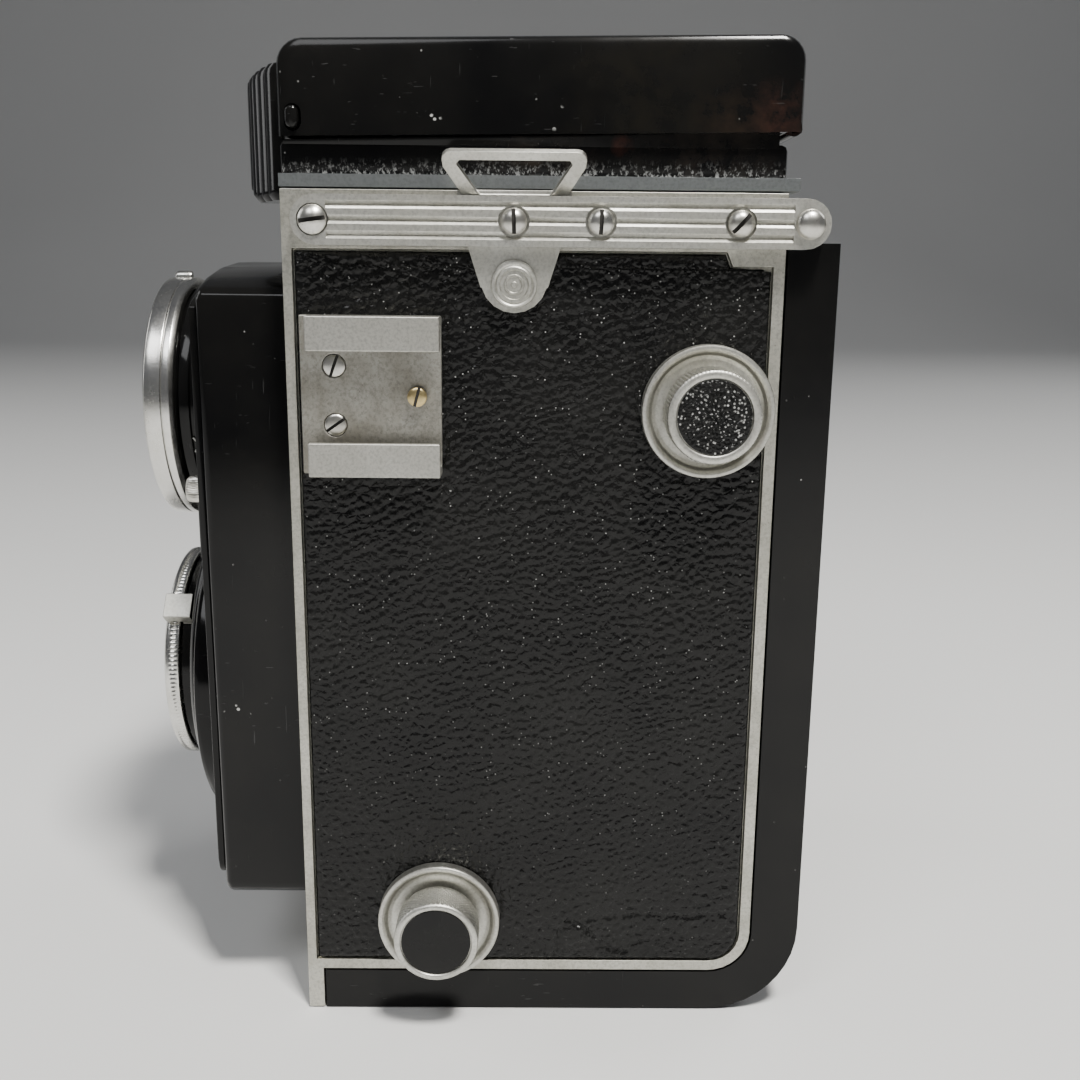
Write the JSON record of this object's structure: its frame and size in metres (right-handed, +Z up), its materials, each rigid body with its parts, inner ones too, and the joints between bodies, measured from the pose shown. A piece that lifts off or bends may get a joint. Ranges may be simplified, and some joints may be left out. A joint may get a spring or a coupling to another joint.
{
  "type": "twin lens reflex camera",
  "caption": "Box-shaped twin lens reflex camera with two stacked lenses, leather sides, bright edge strips, side rail, folding hood and hinged back.",
  "frame": {"origin": "underside of the camera, midway across its width and its body depth", "axes": "+Z up, lenses look along -Y, +X is the side with the accessory shoe and spool knobs"},
  "size_m": [0.0975, 0.1025, 0.1446],
  "materials": {
    "aluminium": "satin",
    "nickel_steel": "satin",
    "bright_chrome": "polished",
    "black_enamel": "gloss",
    "black_leather": "grained",
    "lens_glass": "polished",
    "silvered_mirror": "polished",
    "brass_bush": "machined"
  },
  "bodies": {
    "body": {"body_casting": "aluminium", "leather_panel_left": "black_leather", "leather_panel_right": "black_leather", "light_box": "black_enamel", "mirror": "silvered_mirror", "focusing_screen": "lens_glass", "side_rail_left": "aluminium", "side_rail_right": "aluminium", "strap_lug_left": "aluminium", "strap_lug_right": "aluminium", "rail_screw_left_1": "nickel_steel", "rail_screw_left_2": "nickel_steel", "rail_screw_left_3": "nickel_steel", "rail_screw_left_4": "nickel_steel", "back_hinge_pin_left": "nickel_steel", "back_hinge_pin_right": "nickel_steel", "accessory_shoe": "aluminium", "shoe_screw_upper": "nickel_steel", "shoe_screw_lower": "nickel_steel", "shoe_stop_screw": "nickel_steel", "upper_knob_flange": "aluminium", "lower_knob_flange": "aluminium", "focusing_scale_ring": "aluminium", "hood_base": "black_enamel", "front_name_plate": "black_enamel", "lid_hinge_pin": "nickel_steel"},
    "back": {"back_door": "black_enamel", "leather_panel_back": "black_leather", "tripod_bush": "brass_bush", "pressure_plate_bracket": "nickel_steel"},
    "pressure_plate": {"pressure_plate": "nickel_steel"},
    "latch": {"back_latch": "nickel_steel"},
    "lid": {"hood_lid": "black_enamel"},
    "lid_catch": {"lid_catch_button": "black_enamel"},
    "wing_left": {"hood_wing_left": "black_enamel"},
    "wing_right": {"hood_wing_right": "black_enamel"},
    "front_panel": {"hood_front_panel": "black_enamel"},
    "magnifier": {"magnifier_arm": "nickel_steel", "magnifier_lens": "lens_glass"},
    "front_standard": {"lens_box": "black_enamel", "face_plate": "black_enamel", "viewing_lens_barrel": "black_enamel", "viewing_lens_ring": "bright_chrome", "viewing_lens_glass": "lens_glass", "shutter_housing": "black_enamel", "taking_lens_glass": "lens_glass", "sync_socket": "nickel_steel"},
    "speed_ring": {"shutter_speed_ring": "bright_chrome"},
    "aperture_lever": {"aperture_lever_ring": "aluminium"},
    "release": {"shutter_release_lever": "nickel_steel"},
    "focus_knob": {"focusing_knob": "aluminium"},
    "wind_knob": {"film_wind_knob": "aluminium"},
    "take_up": {"take_up_spool": "black_enamel"},
    "supply": {"supply_spool": "black_enamel"},
    "upper_knob": {"upper_spool_knob": "aluminium", "upper_knob_inlay": "black_leather"},
    "lower_knob": {"lower_spool_knob": "aluminium", "lower_knob_inlay": "black_enamel"},
    "roller_upper": {"film_roller_upper": "nickel_steel"},
    "roller_lower": {"film_roller_lower": "nickel_steel"}
  },
  "joints": [
    {"name": "back_hinge", "type": "hinge", "parent": "body", "child": "back", "pos_m": [0, 0.03315, 0.1199], "axis": [1, 0, 0], "range_deg": [0, 95]},
    {"name": "pressure_plate_float", "type": "slide", "parent": "back", "child": "pressure_plate", "axis": [0, 1, 0], "range_m": [0, 0.0008], "stiffness_N_per_m": 1500, "springref_m": -0.0006},
    {"name": "latch_slide", "type": "slide", "parent": "back", "child": "latch", "axis": [1, 0, 0], "range_m": [-0.002, 0.002]},
    {"name": "lid_hinge", "type": "hinge", "parent": "body", "child": "lid", "pos_m": [0, 0.0313, 0.13275], "axis": [-1, 0, 0], "range_deg": [0, 100]},
    {"name": "lid_catch_press", "type": "slide", "parent": "lid", "child": "lid_catch", "axis": [-1, 0, 0], "range_m": [0, 0.0008], "stiffness_N_per_m": 800, "springref_m": -0.0006},
    {"name": "wing_left_hinge", "type": "hinge", "parent": "body", "child": "wing_left", "pos_m": [0.0332, 0, 0.1322], "axis": [0, 1, 0], "range_deg": [0, 90]},
    {"name": "wing_right_hinge", "type": "hinge", "parent": "body", "child": "wing_right", "pos_m": [-0.0332, 0, 0.1322], "axis": [0, -1, 0], "range_deg": [0, 90]},
    {"name": "front_panel_hinge", "type": "hinge", "parent": "body", "child": "front_panel", "pos_m": [0, -0.0354, 0.134], "axis": [1, 0, 0], "range_deg": [0, 90]},
    {"name": "magnifier_hinge", "type": "hinge", "parent": "lid", "child": "magnifier", "pos_m": [0, -0.0037, 0.141], "axis": [1, 0, 0], "range_deg": [0, 100]},
    {"name": "focus_slide", "type": "slide", "parent": "body", "child": "front_standard", "axis": [0, -1, 0], "range_m": [0, 0.006]},
    {"name": "focus_knob_turn", "type": "hinge", "parent": "body", "child": "focus_knob", "pos_m": [0, -0.012, 0.06], "axis": [-1, 0, 0], "range_deg": [0, 300]},
    {"name": "speed_ring_turn", "type": "hinge", "parent": "front_standard", "child": "speed_ring", "pos_m": [0, -0.06, 0.0466], "axis": [0, -1, 0], "range_deg": [-60, 60]},
    {"name": "aperture_turn", "type": "hinge", "parent": "front_standard", "child": "aperture_lever", "pos_m": [0, -0.06, 0.0466], "axis": [0, -1, 0], "range_deg": [-10, 45]},
    {"name": "release_press", "type": "hinge", "parent": "front_standard", "child": "release", "pos_m": [-0.0252, 0, 0.0296], "axis": [0, -1, 0], "range_deg": [0, 18], "stiffness_Nm_per_rad": 0.05, "springref_deg": -11.46},
    {"name": "wind_turn", "type": "hinge", "parent": "body", "child": "wind_knob", "pos_m": [0, 0.0207, 0.09455], "axis": [-1, 0, 0], "continuous": true},
    {"name": "take_up_spin", "type": "hinge", "parent": "body", "child": "take_up", "pos_m": [0, 0.0207, 0.09455], "axis": [-1, 0, 0], "continuous": true},
    {"name": "supply_spin", "type": "hinge", "parent": "body", "child": "supply", "pos_m": [0, -0.0175, 0.0159], "axis": [-1, 0, 0], "continuous": true},
    {"name": "roller_upper_spin", "type": "hinge", "parent": "body", "child": "roller_upper", "pos_m": [0, 0.0256, 0.0804], "axis": [-1, 0, 0], "continuous": true},
    {"name": "roller_lower_spin", "type": "hinge", "parent": "body", "child": "roller_lower", "pos_m": [0, 0.0256, 0.0126], "axis": [-1, 0, 0], "continuous": true},
    {"name": "upper_knob_pull", "type": "slide", "parent": "body", "child": "upper_knob", "axis": [1, 0, 0], "range_m": [0, 0.0048], "stiffness_N_per_m": 400, "springref_m": -0.002},
    {"name": "lower_knob_pull", "type": "slide", "parent": "body", "child": "lower_knob", "axis": [1, 0, 0], "range_m": [0, 0.0048], "stiffness_N_per_m": 400, "springref_m": -0.002}
  ],
  "couplings": [
    {"joint": "wing_left_hinge", "follows": "lid_hinge", "ratio": 0.9},
    {"joint": "wing_right_hinge", "follows": "lid_hinge", "ratio": 0.9},
    {"joint": "front_panel_hinge", "follows": "lid_hinge", "ratio": 0.9},
    {"joint": "magnifier_hinge", "follows": "lid_hinge", "ratio": 1},
    {"joint": "focus_knob_turn", "follows": "focus_slide", "rad_per_m": 872.66},
    {"joint": "take_up_spin", "follows": "wind_turn", "ratio": 1}
  ]
}
